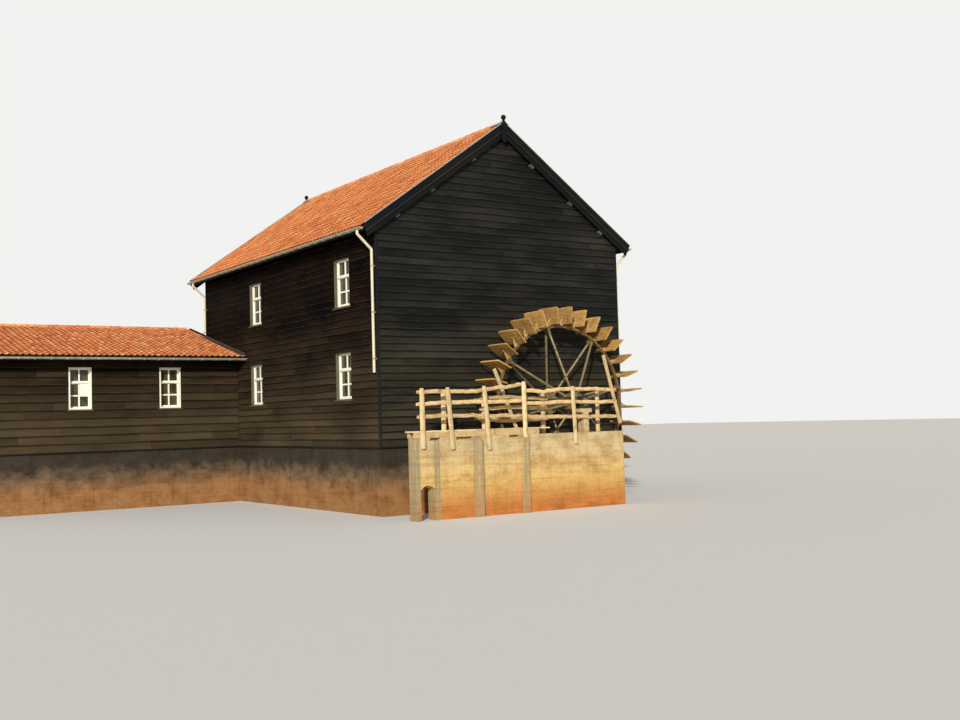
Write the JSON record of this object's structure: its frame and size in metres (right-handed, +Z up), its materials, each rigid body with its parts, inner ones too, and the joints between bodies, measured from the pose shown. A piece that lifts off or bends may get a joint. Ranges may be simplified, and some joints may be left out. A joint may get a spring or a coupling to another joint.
{
  "type": "watermill",
  "caption": "Tarred timber watermill on a masonry plinth, with an undershot paddle wheel at its gable, a railed race wall and a low tiled annex.",
  "frame": {"origin": "on the underside of the front plinth wall, on the mill's centreline and at the middle of that wall's thickness", "axes": "+Z up, +X along the gable to the right as seen from the wheel side, +Y from the wheel's gable towards the rear gable"},
  "size_m": [20.6103, 24.7553, 12.465],
  "materials": {
    "tarred_boards": "tarred, satin where worn",
    "roof_tiles": "matt fired clay",
    "masonry": "matt, damp at the foot",
    "concrete": "matt, stained",
    "floor_boards": "sawn, untreated",
    "weathered_wood": "sun-bleached, matt",
    "paddle_wood": "sawn, rust and algae tint",
    "window_paint": "cream gloss paint",
    "glass": "clear, dark room behind",
    "zinc": "dull, weathered",
    "pipe_paint": "cream paint",
    "wheel_steel": "flaking paint with rust",
    "bearing_iron": "greased, matt"
  },
  "bodies": {
    "mill": {"annex_floor": "floor_boards", "annex_plinth_end": "masonry", "annex_plinth_front": "masonry", "annex_plinth_rear": "masonry", "annex_plinth_side": "masonry", "annex_roof_front": "roof_tiles", "annex_roof_rear": "roof_tiles", "annex_verge_boards": "tarred_boards", "annex_wall_end": "tarred_boards", "annex_wall_front": "tarred_boards", "annex_wall_rear": "tarred_boards", "annex_wall_side": "tarred_boards", "annex_window_frames": "window_paint", "annex_window_glass": "glass", "annex_window_sills": "tarred_boards", "apex_boards": "tarred_boards", "axle_bearing": "bearing_iron", "ball_finials": "tarred_boards", "bargeboards": "tarred_boards", "bearing_pedestal": "concrete", "deck_beams": "weathered_wood", "downpipes": "pipe_paint", "fascia_boards": "tarred_boards", "gable_wall_front": "tarred_boards", "gable_wall_rear": "tarred_boards", "ground_floor": "floor_boards", "gutters": "zinc", "leaning_planks": "weathered_wood", "mill_window_frames": "window_paint", "mill_window_glass": "glass", "mill_window_sills": "tarred_boards", "pipe_clips": "pipe_paint", "plinth_front": "masonry", "plinth_left": "masonry", "plinth_rear": "masonry", "plinth_right": "masonry", "purlins": "tarred_boards", "race_wall": "concrete", "race_wall_outflow": "concrete", "railing_posts": "weathered_wood", "railing_rails": "weathered_wood", "ridge_tiles": "roof_tiles", "roof_left": "roof_tiles", "roof_right": "roof_tiles", "side_wall_left": "tarred_boards", "side_wall_right": "tarred_boards", "upper_floor": "floor_boards", "verge_boards": "tarred_boards", "walkway_deck": "weathered_wood", "wall_bearing": "bearing_iron"},
    "wheel": {"axle": "wheel_steel", "hub_flanges": "wheel_steel", "wheel_ring": "wheel_steel", "spokes": "wheel_steel", "paddle_brackets": "wheel_steel", "paddles": "paddle_wood"}
  },
  "joints": [
    {"name": "wheel_spin", "type": "hinge", "parent": "mill", "child": "wheel", "pos_m": [1.45, -1.095, 3.21], "axis": [0, 1, 0], "continuous": true}
  ]
}
